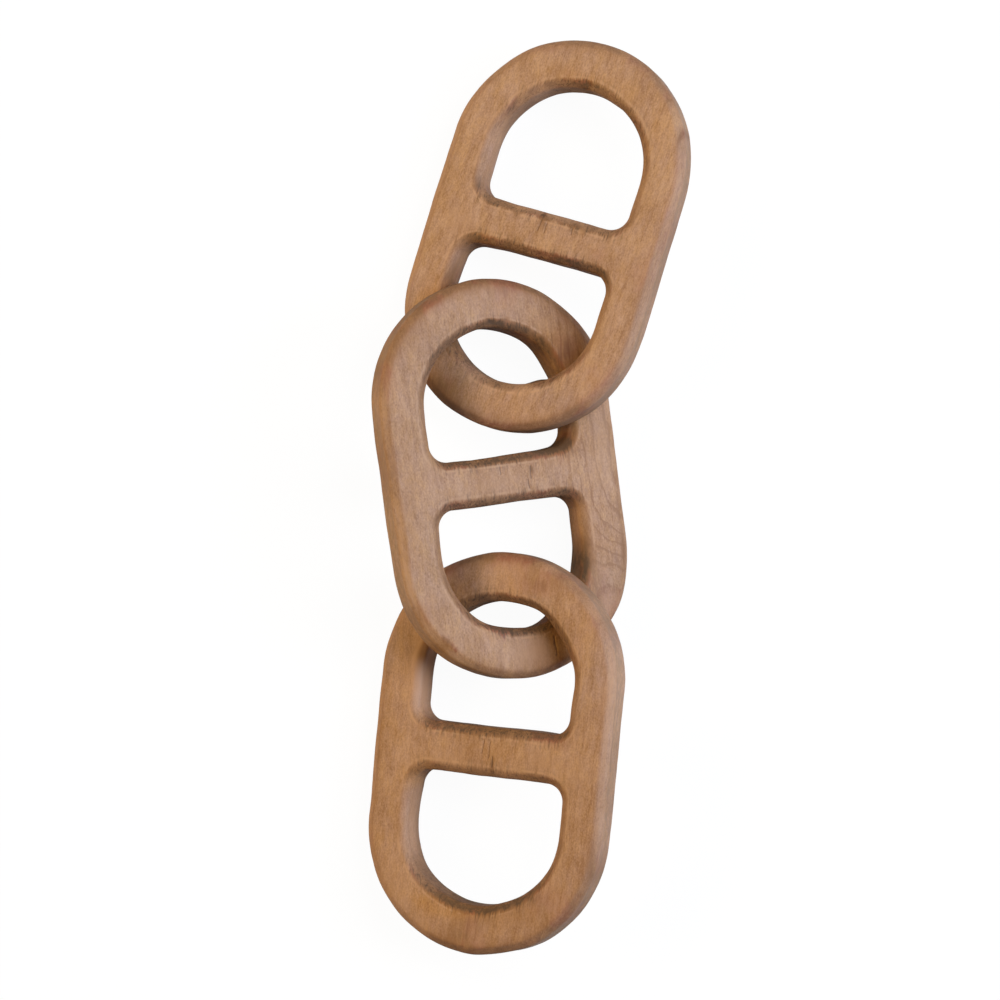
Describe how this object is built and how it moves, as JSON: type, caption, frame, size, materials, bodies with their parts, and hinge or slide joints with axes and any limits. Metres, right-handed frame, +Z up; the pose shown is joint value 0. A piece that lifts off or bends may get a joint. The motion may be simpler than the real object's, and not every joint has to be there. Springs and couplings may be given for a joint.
{
  "type": "carved wooden chain",
  "caption": "Loose decorative chain of carved wooden stud links, hooked through one another and laid along a table or shelf.",
  "frame": {"origin": "on the surface the chain lies on, under the middle of its outer box", "axes": "+Z up from the surface, +Y along the laid chain towards the upper link, +X to the right seen from above"},
  "size_m": [0.1594, 0.4484, 0.063],
  "materials": {
    "honey_wood": "hand-sanded honey-brown wood, waxed dull, with old umber stain along its rims and end grain",
    "figured_wood": "hand-sanded brown wood with growth lines across its right leg, waxed dull, umber stain along its rims",
    "tan_wood": "hand-sanded tan wood, waxed dull, umber stain along its inner rims, pale rubbed chamfers outside"
  },
  "bodies": {
    "root": {"upper_link": "honey_wood", "middle_link": "figured_wood", "lower_link": "tan_wood"}
  },
  "joints": []
}
